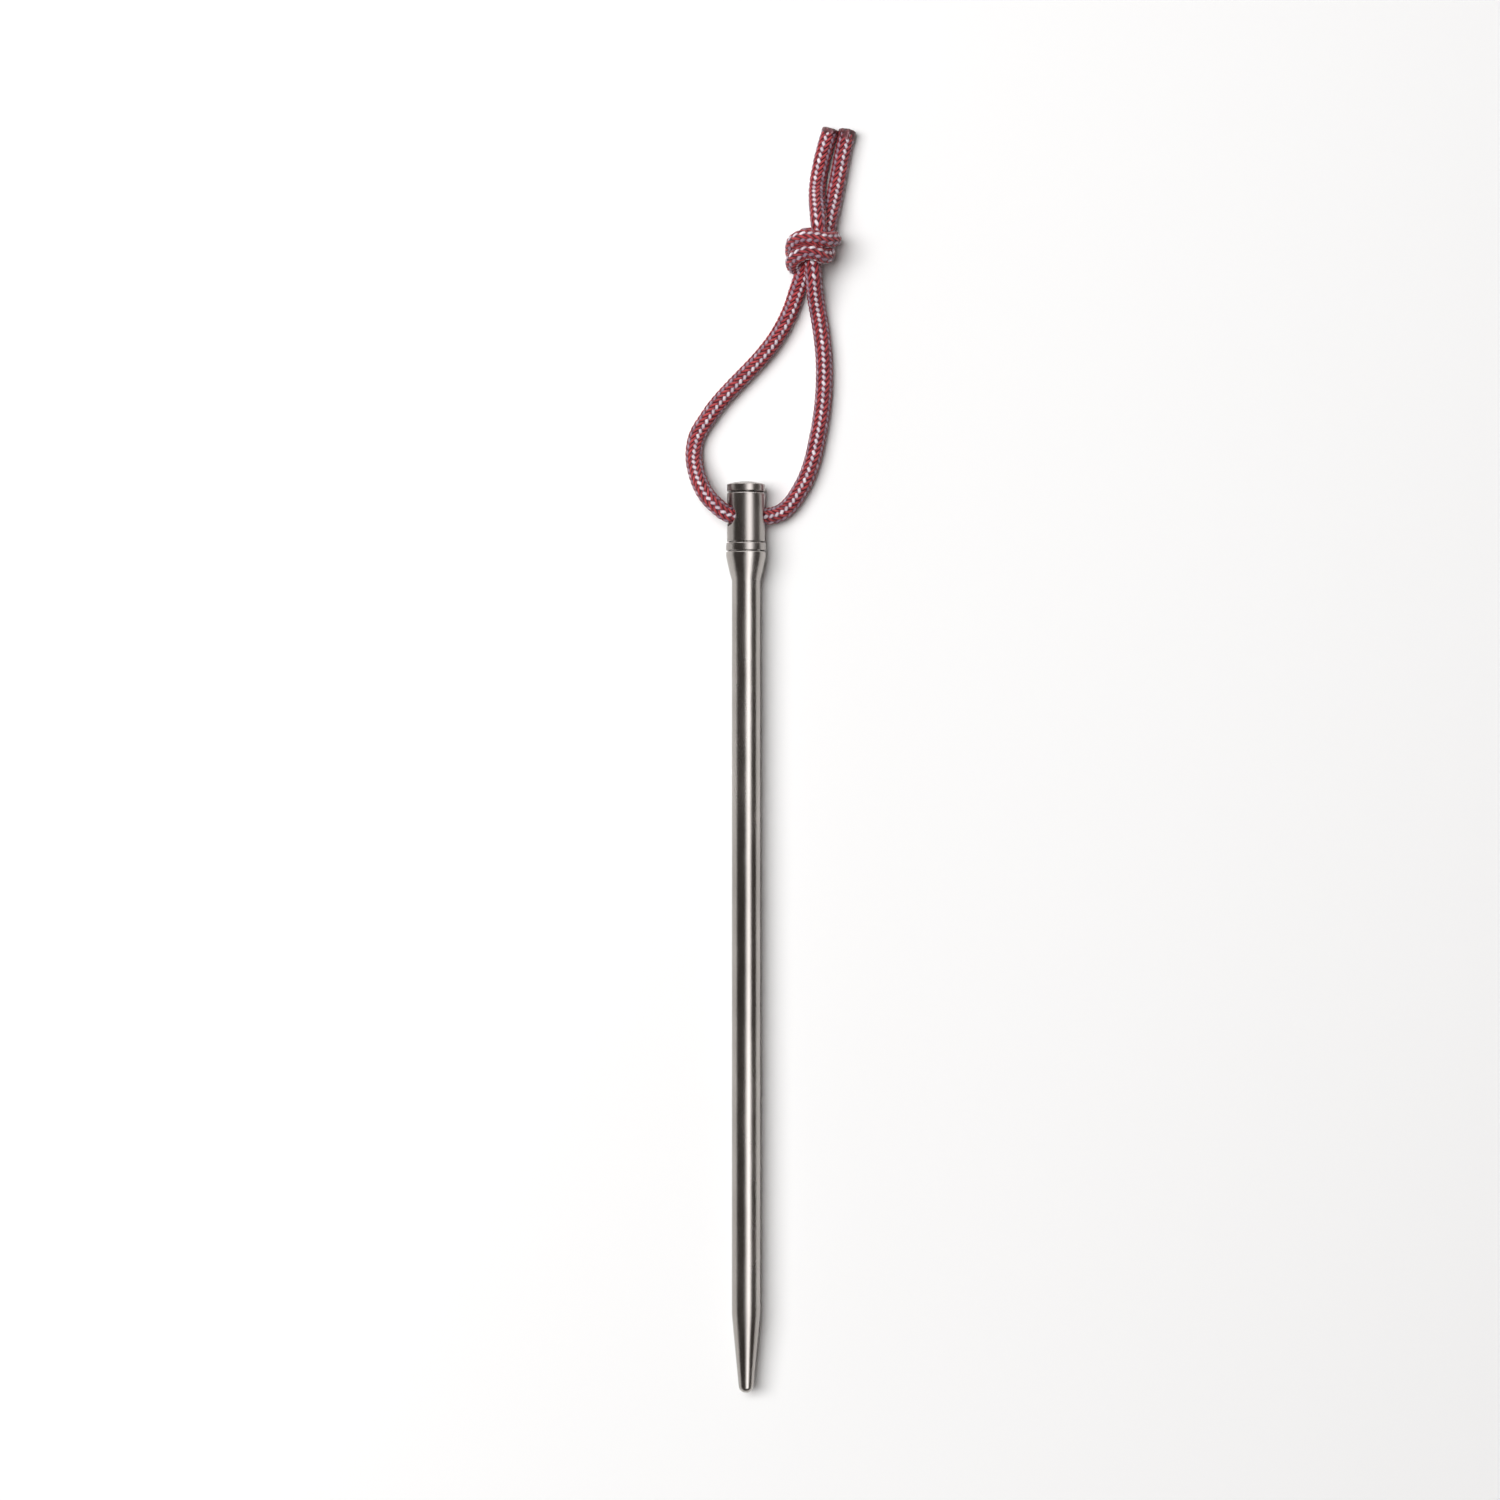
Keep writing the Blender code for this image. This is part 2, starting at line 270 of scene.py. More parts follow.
# Room behind the softboxes: pale at the horizon and dim above it
HORIZON_TONE = (0.85, 0.85, 0.85)
HORIZON_HEIGHT = 0.02
ROOM_TONE = (0.085, 0.075, 0.07)
ROOM_HEIGHT = 0.16
HORIZON_LEAN = 0.1
FLOOR_TONE = (0.92, 0.92, 0.92, 1.0)
FLOOR_HALF_SIZE = 6.0


# ---------------------------------------------------------------- camera, light and floor

def add_camera():
    camera = bpy.data.objects.new("camera", bpy.data.cameras.new("camera"))
    camera.data.lens = LENS
    camera.data.sensor_width = SENSOR_WIDTH
    camera.data.clip_end = 20.0
    camera.location = CAMERA_PLACE
    bpy.context.scene.collection.objects.link(camera)
    bpy.context.scene.camera = camera


def add_softbox(name, centre, size, power, colour, tilt=0.0):
    """Rectangular softbox that faces straight down, or towards -Y when tilted by -90 degrees."""
    light = bpy.data.lights.new(name, "AREA")
    light.shape = "RECTANGLE"
    light.size, light.size_y = size
    light.energy = power
    light.color = colour
    item = bpy.data.objects.new(name, light)
    item.location = centre
    item.rotation_euler.x = math.radians(tilt)
    item.visible_camera = False
    bpy.context.scene.collection.objects.link(item)
    return item


def add_floor():
    material = new_material("floor")
    shader = material.node_tree.nodes["Principled BSDF"]
    shader.inputs["Base Color"].default_value = FLOOR_TONE
    shader.inputs["Roughness"].default_value = 0.9
    shader.inputs["Specular IOR Level"].default_value = 0.1
    shape = bmesh.new()
    bmesh.ops.create_grid(shape, x_segments=8, y_segments=8, size=FLOOR_HALF_SIZE)
    mesh = bpy.data.meshes.new("floor")
    shape.to_mesh(mesh)
    shape.free()
    mesh.materials.append(material)
    floor = bpy.data.objects.new("floor", mesh)
    bpy.context.scene.collection.objects.link(floor)


def add_world():
    """A dim warm room that turns pale close to the horizon, and less so towards +X."""
    world = bpy.data.worlds.new("room")
    bpy.context.scene.world = world
    world.use_nodes = True
    tree = world.node_tree
    direction = tree.nodes.new("ShaderNodeTexCoord").outputs["Generated"]
    split = add_node(tree, "ShaderNodeSeparateXYZ", Vector=direction)
    height = scaled_sum(tree, split.outputs["Z"], 1.0, split.outputs["X"], HORIZON_LEAN)
    colour = ramp(tree, height, [(HORIZON_HEIGHT, HORIZON_TONE), (ROOM_HEIGHT, ROOM_TONE)])
    tree.links.new(colour, tree.nodes["Background"].inputs["Color"])


def add_stage():
    bpy.context.scene.view_settings.view_transform = "Standard"
    add_floor()
    add_world()
    key = add_softbox("key", KEY_CENTRE, KEY_SIZE, KEY_POWER, PLAIN_WHITE)
    key.visible_glossy = False
    add_strips()
    back = add_softbox("back_panel", BACK_CENTRE, BACK_SIZE, BACK_POWER, COOL_WHITE, -90.0)
    back.visible_diffuse = False


def add_strips():
    """Strip softbox along the stake, seen in the metal alone and brightest along its middle."""
    for i, (width, share) in enumerate(STRIPS):
        strip = add_softbox(f"strip_{i}", STRIP_CENTRE - STRIP_DROP * i, (width, STRIP_LENGTH),
                            STRIP_POWER * share * width, COOL_WHITE)
        strip.visible_diffuse = False


# ---------------------------------------------------------------- node helpers

def new_material(name):
    material = bpy.data.materials.new(name)
    material.use_nodes = True
    return material


def add_node(tree, kind, **inputs):
    """Add a shader node and set its named inputs; an output is linked, a value is stored."""
    node = tree.nodes.new(kind)
    for key, value in inputs.items():
        socket = node.inputs[key.replace("_", " ")]
        if isinstance(value, bpy.types.NodeSocket):
            tree.links.new(value, socket)
        else:
            socket.default_value = value
    return node


def noise(tree, vector, scale, detail=3.0, roughness=0.55):
    node = add_node(tree, "ShaderNodeTexNoise", Vector=vector, Scale=scale, Detail=detail,
                    Roughness=roughness)
    return node.outputs["Fac"]


def object_place(tree):
    """Position in the object's own frame, in metres."""
    return tree.nodes.new("ShaderNodeTexCoord").outputs["Object"]


def stretched(tree, vector, scale):
    node = add_node(tree, "ShaderNodeMapping", Vector=vector)
    node.inputs["Scale"].default_value = scale
    return node.outputs["Vector"]


def ramp(tree, factor, stops):
    """Colour ramp whose stops are (position, (r, g, b))."""
    node = add_node(tree, "ShaderNodeValToRGB", Fac=factor)
    elements = node.color_ramp.elements
    while len(elements) < len(stops):
        elements.new(0.5)
    for element, (position, colour) in zip(elements, stops):
        element.position = position
        element.color = (*colour, 1.0)
    return node.outputs["Color"]


def spread(tree, factor, low, high):
    """Map the band 0.3-0.7, where most of a noise lies, to low-high."""
    node = add_node(tree, "ShaderNodeMapRange", Value=factor, From_Min=0.3, From_Max=0.7,
                    To_Min=low, To_Max=high)
    return node.outputs["Result"]


def bump(tree, height, strength, distance, normal=None):
    node = add_node(tree, "ShaderNodeBump", Height=height, Strength=strength, Distance=distance)
    if normal is not None:
        tree.links.new(normal, node.inputs["Normal"])
    return node.outputs["Normal"]


def scaled_sum(tree, first, first_scale, second, second_scale):
    """Value of first * first_scale + second * second_scale."""
    scaled = tree.nodes.new("ShaderNodeMath")
    scaled.operation = "MULTIPLY"
    tree.links.new(second, scaled.inputs[0])
    scaled.inputs[1].default_value = second_scale
    total = tree.nodes.new("ShaderNodeMath")
    total.operation = "MULTIPLY_ADD"
    tree.links.new(first, total.inputs[0])
    total.inputs[1].default_value = first_scale
    tree.links.new(scaled.outputs[0], total.inputs[2])
    return total.outputs[0]


def add_attribute(tree, name, output):
    node = tree.nodes.new("ShaderNodeAttribute")
    node.attribute_name = name
    return node.outputs[output]


# ---------------------------------------------------------------- metal

def metal_material(name, tones, turned_depth, peel_depth, roughness):
    """Titanium: fine lines round the axis, a grainy skin and patches of duller tone.

    The two depths are in millimetres, and roughness is its (lowest, highest) value.
    """
    material = new_material(name)
    tree = material.node_tree
    shader = tree.nodes["Principled BSDF"]
    shader.inputs["Metallic"].default_value = 1.0
    place = object_place(tree)
    lines = noise(tree, stretched(tree, place, (120.0, 9000.0, 120.0)), 1.0, 4.0, 0.7)
    grain = noise(tree, place, 5200.0, 3.0, 0.6)
    patches = noise(tree, stretched(tree, place, (260.0, 60.0, 260.0)), 1.0, 2.0)
    colour = ramp(tree, patches, [(0.3, tones[0]), (0.7, tones[1])])
    tree.links.new(colour, shader.inputs["Base Color"])
    tree.links.new(spread(tree, patches, *roughness), shader.inputs["Roughness"])
    normal = bump(tree, lines, 1.0, turned_depth * MM)
    normal = bump(tree, grain, 1.0, peel_depth * MM, normal)
    tree.links.new(normal, shader.inputs["Normal"])
    return material


def stake_point(radius, angle, station):
    """Point on a circle round the stake's axis, the angle measured from the eye's -X mouth."""
    across = EYE_OUT * (radius * math.cos(angle)) + EYE_UP * (radius * math.sin(angle))
    return (AXIS_POINT + across + ALONG * station) * MM


def bridge(shape, ring_a, ring_b):
    """Faces between two closed rings of corners; a ring of one corner is a pole."""
    count = max(len(ring_a), len(ring_b))
    for i in range(count):
        j = (i + 1) % count
        corners = []
        for ring, order in ((ring_a, (i, j)), (ring_b, (j, i))):
            corners += [ring[0]] if len(ring) == 1 else [ring[k] for k in order]
        shape.faces.new(corners)


def turn(shape, outline, closed=False):
    """Turn an outline of (radius, station) points round the stake's axis."""
    rings = []
    for radius, station in outline:
        count = SEGMENTS if radius > 0.0 else 1
        angles = [2.0 * math.pi * i / SEGMENTS - math.pi / 2 for i in range(count)]
        rings.append([shape.verts.new(stake_point(radius, a, station)) for a in angles])
    for ring_a, ring_b in zip(rings, rings[1:]):
        bridge(shape, ring_a, ring_b)
    if closed:
        bridge(shape, rings[-1], rings[0])


def arc_between(centre, start, end, steps):
    """Points of the shorter arc about centre from start to end, both ends included."""
    first = Vector(start) - centre
    turn_by = first.angle_signed(Vector(end) - centre)
    points = []
    for i in range(steps + 1):
        angle = -turn_by * i / steps
        points.append((
            centre.x + first.x * math.cos(angle) - first.y * math.sin(angle),
            centre.y + first.x * math.sin(angle) + first.y * math.cos(angle),
        ))
    return points


def rounded(corners):
    """Outline through (radius, station, round) corners, each round an arc tangent to its sides."""
    points = []
    for i, (x, y, fillet) in enumerate(corners):
        if fillet == 0.0:
            points.append((x, y))
            continue
        corner = Vector((x, y))
        back = (Vector(corners[i - 1][:2]) - corner).normalized()
        ahead = (Vector(corners[(i + 1) % len(corners)][:2]) - corner).normalized()
        half = back.angle(ahead) / 2.0
        reach = fillet / math.tan(half)
        centre = corner + (back + ahead).normalized() * (fillet / math.sin(half))
        steps = max(2, round(math.degrees(math.pi - 2.0 * half) / ARC_STEP_DEGREES))
        points += arc_between(centre, corner + back * reach, corner + ahead * reach, steps)
    return points


def add_metal_piece(name, shape, material, node):
    bmesh.ops.remove_doubles(shape, verts=shape.verts, dist=1e-6)
    bmesh.ops.recalc_face_normals(shape, faces=shape.faces)
    mesh = bpy.data.meshes.new(name)
    shape.to_mesh(mesh)
    shape.free()
    mesh.shade_smooth()
    mesh.set_sharp_from_angle(angle=SHARP_ANGLE)
    mesh.materials.append(material)
    piece = bpy.data.objects.new(name, mesh)
    bpy.context.scene.collection.objects.link(piece)
    normals = piece.modifiers.new("flat faces stay flat", "WEIGHTED_NORMAL")
    normals.keep_sharp = True
    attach(piece, "stake")
    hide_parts(node)
    return piece


def dome_station(radius):
    """Station of the domed striking end at a distance from the stake's axis."""
    return TOP - radius**2 / (2.0 * DOME_RADIUS)


def add_cap(material):
    """Domed striking disc with rounded rims, and its plug."""
    dome_steps = 12
    rim_round = 0.18
    dome_edge = HEAD_RADIUS - 0.02
    dome_radii = [(HEAD_RADIUS - rim_round) * i / dome_steps for i in range(dome_steps)]
    corners = [(radius, dome_station(radius), 0.0) for radius in dome_radii]
    corners += [
        (dome_edge, dome_station(dome_edge), rim_round),
        (HEAD_RADIUS, CAP_BOTTOM, 0.2),
        (PLUG_RADIUS, CAP_BOTTOM, 0.0),
        (PLUG_RADIUS, PLUG_BOTTOM, 0.1),
        (0.0, PLUG_BOTTOM, 0.0),
    ]
    shape = bmesh.new()
    turn(shape, rounded(corners))
    piece = add_metal_piece("strike_cap_finish", shape, material, "strike_cap")


def mouth_point(side, turn_angle, step):
    """A point of the eye's rounded mouth: step 0 lies on the bore and step 1 on the barrel."""
    along, up = math.cos(turn_angle), math.sin(turn_angle)
    depth = math.sqrt(MOUTH_DEPTH**2 - (MOUTH_REACH * up)**2)
    centre = Vector((MOUTH_REACH * along, MOUTH_REACH * up, depth))
    to_bore = Vector((-along, -up, 0.0))
    to_barrel = Vector((0.0, MOUTH_REACH * up, depth)) / MOUTH_DEPTH
    point = centre + to_bore.slerp(to_barrel, step) * EYE_ROUND
    return eye_point(side, *point)


def eye_point(side, along, up, depth):
    """Point from its distances along the stake, up the head and out towards one mouth."""
    offset = ALONG * (EYE_STATION + along) + EYE_UP * up + EYE_OUT * (side * depth)
    return (AXIS_POINT + offset) * MM


def barrel_edge(turn_angle, bottom, top):
    """Where the half barrel round a mouth ends: (angle round the head, station)."""
    quarter = math.pi / 2
    t = (turn_angle + quarter / 2) % (4 * quarter)
    side, t = divmod(t / quarter, 1.0)
    if side == 0:
        return quarter * (2.0 * t - 1.0), top
    if side == 1:
        return quarter, top + (bottom - top) * t
    if side == 2:
        return quarter * (1.0 - 2.0 * t), bottom
    return -quarter, bottom + (top - bottom) * t


def add_mouth_rings(shape, side, bottom, top):
    """Rings from the bore over the rounded mouth and out over half of the barrel."""
    fillet_steps = 7
    skin_steps = 14
    turns = [2.0 * math.pi * i / MOUTH_POINTS for i in range(MOUTH_POINTS)]
    rings = []
    for k in range(fillet_steps + 1):
        rings.append([shape.verts.new(mouth_point(side, t, k / fillet_steps)) for t in turns])
    for k in range(1, skin_steps + 1):
        ring = []
        for t in turns:
            start = Vector((math.asin(MOUTH_REACH * math.sin(t) / MOUTH_DEPTH),
                            EYE_STATION + MOUTH_REACH * math.cos(t)))
            angle, station = start.lerp(Vector(barrel_edge(t, bottom, top)), k / skin_steps)
            round_angle = angle if side > 0 else math.pi - angle
            ring.append(shape.verts.new(stake_point(HEAD_RADIUS, round_angle, station)))
        rings.append(ring)
    for ring_a, ring_b in zip(rings, rings[1:]):
        bridge(shape, ring_a, ring_b)
    return rings[0]


def add_bore(shape, ring_a, ring_b):
    """The eye's wall, between the innermost rings of its two mouths."""
    steps = 10
    rings = [ring_a]
    for k in range(1, steps):
        rings.append([shape.verts.new(a.co.lerp(b.co, k / steps))
                      for a, b in zip(ring_a, ring_b)])
    rings.append(ring_b)
    for one, other in zip(rings, rings[1:]):
        bridge(shape, one, other)


def add_head(material):
    """Barrel with its rounded eye, a recess for the cap and the spigot that enters the tube."""
    plug_room = PLUG_RADIUS + FIT
    spigot = RING_RADIUS - WALL - FIT
    spigot_tip = SHAFT_RADIUS - WALL - FIT
    top = BARREL_TOP - 0.4
    bottom = BARREL_BOTTOM + 0.6
    shape = bmesh.new()
    ring_a = add_mouth_rings(shape, 1, bottom, top)
    ring_b = add_mouth_rings(shape, -1, bottom, top)
    add_bore(shape, ring_a, ring_b)
    turn(shape, rounded([
        (HEAD_RADIUS, top, 0.0),
        (HEAD_RADIUS, BARREL_TOP, 0.34),
        (plug_room, BARREL_TOP, 0.0),
        (plug_room, RECESS_FLOOR, 0.0),
        (0.0, RECESS_FLOOR, 0.0),
    ]))
    turn(shape, rounded([
        (HEAD_RADIUS, bottom, 0.0),
        (HEAD_RADIUS, BARREL_BOTTOM, 0.12),
        (spigot, BARREL_BOTTOM, 0.0),
        (spigot, FLARE_TOP, 0.3),
        (spigot_tip, FLARE_BOTTOM, 0.3),
        (spigot_tip, SPIGOT_END, 0.3),
        (0.0, SPIGOT_END, 0.0),
    ]))
    piece = add_metal_piece("eye_head_finish", shape, material, "eye_head")


def add_ring(material):
    """Collar between the head and the tube, closed round its own section."""
    inner = RING_RADIUS - WALL
    shape = bmesh.new()
    turn(shape, rounded([
        (inner, RING_TOP, 0.0),
        (RING_RADIUS - 0.02, RING_TOP, 0.24),
        (RING_RADIUS, RING_BOTTOM + 0.7, 0.3),
        (RING_RADIUS, RING_BOTTOM, 0.12),
        (inner, RING_BOTTOM, 0.0),
    ]), closed=True)
    piece = add_metal_piece("collar_ring_finish", shape, material, "collar_ring")


def add_shaft(material):
    """The tube: rolled lip, swaged flare, long plain shaft and a cone with a blunt tip."""
    tip = []
    for i in range(1, 10):
        angle = math.pi / 2 * i / 10
        station = TIP + NOSE_LENGTH * (1.0 - math.sin(angle))
        tip.append((NOSE_RADIUS * math.cos(angle), station, 0.0))
    corners = [
        (0.0, NOSE_TOP + 2.0, 0.0),
        (SHAFT_RADIUS - WALL, NOSE_TOP + 3.0, 0.3),
        (SHAFT_RADIUS - WALL, FLARE_BOTTOM, 0.3),
        (RING_RADIUS - WALL, FLARE_TOP, 0.3),
        (RING_RADIUS - WALL, MOUTH_TOP, 0.05),
        (RING_RADIUS, MOUTH_TOP, 0.26),
        (RING_RADIUS, FLARE_TOP - 0.3, 3.0),
        (SHAFT_RADIUS + 0.42, FLARE_BOTTOM + 1.5, 5.0),
        (SHAFT_RADIUS, FLARE_BOTTOM, 0.9),
        (SHAFT_RADIUS, NOSE_TOP, 2.5),
        (NOSE_RADIUS, TIP + NOSE_LENGTH, 0.0),
    ]
    shape = bmesh.new()
    turn(shape, rounded(corners + tip + [(0.0, TIP, 0.0)]))
    piece = add_metal_piece("shaft_tube_finish", shape, material, "shaft_tube")


# ---------------------------------------------------------------- cord

def yarn_material(name, tones, sheen):
    """Filament yarn: streaks along each strand, and painted light and shade: darker where a strand
    dives under another and along its edges, lighter on its top.
    """
    material = new_material(name)
    tree = material.node_tree
    shader = tree.nodes["Principled BSDF"]
    fibre = add_attribute(tree, "fibre", "Vector")
    tint = add_attribute(tree, "tint", "Fac")
    painted_light = add_attribute(tree, "painted_light", "Fac")
    streaks = noise(tree, stretched(tree, fibre, (1.3, 26.0, 9.0)), 1.0, 3.0, 0.65)
    tone = scaled_sum(tree, painted_light, 0.7, scaled_sum(tree, tint, 0.16, streaks, 0.45), 1.0)
    colour = ramp(tree, tone, [(0.30, tones[0]), (0.62, tones[1]), (0.92, tones[2])])
    tree.links.new(colour, shader.inputs["Base Color"])
    tree.links.new(spread(tree, streaks, 0.62, 0.42), shader.inputs["Roughness"])
    tree.links.new(bump(tree, streaks, 0.7, 0.05 * MM), shader.inputs["Normal"])
    shader.inputs["Sheen Weight"].default_value = sheen
    shader.inputs["Sheen Roughness"].default_value = 0.4
    return material


def melted_material():
    """Cord end fused by heat: dark and glossy, with paler fibre ends showing through."""
    material = new_material("melted_end")
    tree = material.node_tree
    shader = tree.nodes["Principled BSDF"]
    blotches = noise(tree, object_place(tree), 1200.0, 3.0, 0.6)
    colour = ramp(tree, blotches, [(0.40, (0.05, 0.013, 0.016)), (0.60, (0.14, 0.035, 0.042)),
                                   (0.75, (0.38, 0.23, 0.26))])
    tree.links.new(colour, shader.inputs["Base Color"])
    tree.links.new(spread(tree, blotches, 0.25, 0.5), shader.inputs["Roughness"])
    tree.links.new(bump(tree, blotches, 0.8, 0.2 * MM), shader.inputs["Normal"])
    return material


def curve_span(before, start, end, after):
    """Bezier points from start up to end, each handle parallel to the chord across its point."""
    reach = (end - start).length / 3.0
    handle_out = start + (end - before).normalized() * reach
    handle_in = end - (after - start).normalized() * reach
    return interpolate_bezier(start, handle_out, handle_in, end, SPAN_STEPS)[:-1]


def smooth_route(points):
    """Dense points on a smooth curve through the given ones, as an array."""
    knots = [Vector(point) for point in points]
    knots = [2.0 * knots[0] - knots[1]] + knots + [2.0 * knots[-1] - knots[-2]]
    fine = []
    for i in range(1, len(knots) - 2):
        fine += curve_span(*knots[i - 1:i + 3])
    fine.append(knots[-2])
    return np.array(fine)


def travelled(points):
    steps = np.linalg.norm(np.diff(points, axis=0), axis=1)
    return np.concatenate([[0.0], np.cumsum(steps)])


def resampled(points, spacing):
    """Evenly spaced points along a polyline and their distances from its start."""
    distance = travelled(points)
    count = round(distance[-1] / spacing) + 1
    even = np.linspace(0.0, distance[-1], count)
    return np.column_stack([np.interp(even, distance, axis) for axis in points.T]), even


def unit(vectors):
    return vectors / np.linalg.norm(vectors, axis=-1, keepdims=True)


def carried_frames(points):
    """Direction, and a side vector carried along the curve without turning about it."""
    ahead = unit(np.gradient(points, axis=0))
    side = np.zeros_like(points)
    start = np.array([0.0, 0.0, 1.0])
    side[0] = unit(start - ahead[0] * start.dot(ahead[0]))
    for i in range(1, len(points)):
        carried = side[i - 1] - ahead[i] * side[i - 1].dot(ahead[i])
        side[i] = unit(carried)
    return ahead, side


def angle_to_top(ahead, side):
    """Angle from the carried side vector round to the direction nearest to straight up."""
    up = np.array([0.0, 0.0, 1.0])
    other = np.cross(ahead, side)
    return math.atan2(up.dot(other), up.dot(side))


def line_places(lines):
    """(route point, degrees) for every route point of the stretches in lines."""
    for first, last, start, end in lines:
        for index in range(first, last + 1):
            yield index, start + (end - start) * (index - first) / (last - first)


class CordPath:
    """Middle line of half of the cord, with the turn of its braid and how tightly it is drawn."""

    def __init__(self, route, lines):
        self.points, self.distance = resampled(smooth_route(route), CORD_STEP)
        self.ahead, self.side = carried_frames(self.points)
        self.other = np.cross(self.ahead, self.side)
        self.samples = [self.nearest_sample(place) for place in route]
        self.twist = self.braid_twist(lines)
        self.snug = self.snugness()

    def nearest_sample(self, place):
        return int(np.argmin(np.linalg.norm(self.points - np.array(place), axis=1)))

    def braid_twist(self, lines):
        """Turn of the braid at each sample that puts a bright line of picks where lines says."""
        period = 4.0 * math.pi / WHITE_LINES
        stations, turns = [], []
        for index, degrees in line_places(lines):
            sample = self.samples[index]
            wanted = angle_to_top(self.ahead[sample], self.side[sample]) + math.radians(degrees)
            if turns:
                wanted += period * round((turns[-1] - wanted) / period)
            stations.append(self.distance[sample])
            turns.append(wanted)
        return np.interp(self.distance, stations, turns)

    def snugness(self):
        """Radius factor at each sample: less in the knot and close to the cut end."""
        enter, leave = self.distance[[self.samples[KNOT_FIRST], self.samples[KNOT_LAST]]]
        inside = (np.tanh((self.distance - enter) / KNOT_EDGE)
                  - np.tanh((self.distance - leave) / KNOT_EDGE))
        to_end = self.distance[-1] - self.distance
        pinch = END_PINCH * np.exp(-to_end / END_PINCH_REACH)
        return 1.0 - 0.5 * KNOT_SQUEEZE * inside - pinch

    def outward(self, samples, turns):
        """Unit vectors square to the cord, one for every sample and every angle in turns."""
        return (self.side[samples][:, None, :] * np.cos(turns)[None, :, None]
                + self.other[samples][:, None, :] * np.sin(turns)[None, :, None])


def even_turns(count):
    """Angles of count equal steps round a circle."""
    return 2.0 * math.pi * np.arange(count) / count


def white_wave(angle):
    """+1 on the lines where the white strands lie outside, -1 between them."""
    edge = math.cos(math.pi * WHITE_LINE_SHARE)
    return np.tanh(DIVE_SHARPNESS * (np.cos(WHITE_LINES * angle) - edge))


def line_brightness(angle):
    """1 along every other line of white picks, less along the duller ones between them."""
    return 1.0 - DULL_LINE_LOSS * (0.5 - 0.5 * np.cos(WHITE_LINES / 2 * angle))


def red_wave(angle):
    """+1 midway between the white lines, falling to -1 where a red strand dives under one."""
    rise = 0.5 - 0.5 * np.cos(WHITE_LINES * angle)
    return 2.0 * np.sqrt(rise) - 1.0


def tube_faces(rows, sides, first):
    """Quads of a tube of rings of corners, and a polygon over each of its two ends."""
    faces = []
    for i in range(rows - 1):
        for k in range(sides):
            a = first + i * sides + k
            b = first + i * sides + (k + 1) % sides
            faces.append((a, b, b + sides, a + sides))
    last = first + (rows - 1) * sides
    faces.append(tuple(first + k for k in reversed(range(sides))))
    faces.append(tuple(last + k for k in range(sides)))
    return faces


class CordMesh:
    """Gathers the tubes of one cord with their materials and their fibre coordinates."""

    def __init__(self):
        self.corners, self.fibres, self.tints, self.painted_lights = [], [], [], []
        self.faces, self.materials = [], []
        self.count = 0

    def add_tube(self, rings, along, across, painted_light, tint, material):
        """rings is an array of (rows, sides, 3) corners, and the painted light and shade is an
        array of (rows, sides).
        """
        rows, sides, _ = rings.shape
        faces = tube_faces(rows, sides, self.count)
        self.corners.append(rings.reshape(-1, 3))
        fibre = np.zeros((rows, sides, 3))
        fibre[..., 0] = along[:, None] / MM
        fibre[..., 1] = across[None, :] / MM
        fibre[..., 2] = tint * FIBRE_SHIFT
        self.fibres.append(fibre.reshape(-1, 3))
        self.tints.append(np.full(rows * sides, tint))
        self.painted_lights.append(painted_light.reshape(-1))
        self.faces += faces
        self.materials += [material] * len(faces)
        self.count += rows * sides

    def to_mesh(self, name):
        mesh = bpy.data.meshes.new(name)
        mesh.from_pydata(np.concatenate(self.corners).tolist(), [], self.faces)
        mesh.polygons.foreach_set("material_index", self.materials)
        fibre = mesh.attributes.new("fibre", "FLOAT_VECTOR", "POINT")
        fibre.data.foreach_set("vector", np.concatenate(self.fibres).ravel())
        for kind, values in (("tint", self.tints), ("painted_light", self.painted_lights)):
            layer = mesh.attributes.new(kind, "FLOAT", "POINT")
            layer.data.foreach_set("value", np.concatenate(values))
        mesh.shade_smooth()
        mesh.update()
        return mesh


def add_strand(cord, path, start, material, tint):
    """One strand of the braid, from its angle round the cord at the eye."""
    if material == WHITE:
        angle = start - HELIX_RATE * path.distance
        wave = white_wave(angle)
        gain = line_brightness(angle)
        half_width = WHITE_HALF_WIDTH
    else:
        angle = start + HELIX_RATE * path.distance
        wave = red_wave(angle)
        gain = np.ones_like(angle)
        half_width = RED_HALF_WIDTH
    radius = (STRAND_MID_RADIUS + wave * STRAND_LIFT) * path.snug
    angle = angle + path.twist
    out = path.side * np.cos(angle)[:, None] + path.other * np.sin(angle)[:, None]
    centre = path.points + out * radius[:, None]
    ahead = unit(np.gradient(centre, axis=0))
    wide = unit(np.cross(ahead, out))
    thick = np.cross(wide, ahead)
    turns = even_turns(STRAND_SIDES)
    across = np.cos(turns) * half_width
    height = np.sin(turns) * STRAND_HALF_THICKNESS
    rings = centre[:, None, :] + wide[:, None, :] * across[None, :, None]
    rings = rings + thick[:, None, :] * height[None, :, None]
    # Painted light and shade: lighter where the strand lies on top, darker where it dives under
    # another and towards its two edges
    painted_light = (gain * (0.5 + 0.5 * wave))[:, None] * (1.0 - 0.85 * np.cos(turns)**2)[None, :]
    cord.add_tube(rings, path.distance, across, painted_light, tint, material)


def add_core(cord, path):
    turns = even_turns(CORE_SIDES)
    out = path.outward(slice(None), turns)
    rings = path.points[:, None, :] + out * (CORE_RADIUS * path.snug)[:, None, None]
    painted_light = np.full(rings.shape[:2], 0.5)
    cord.add_tube(rings, path.distance, turns * CORE_RADIUS, painted_light, 0.5, CORE)


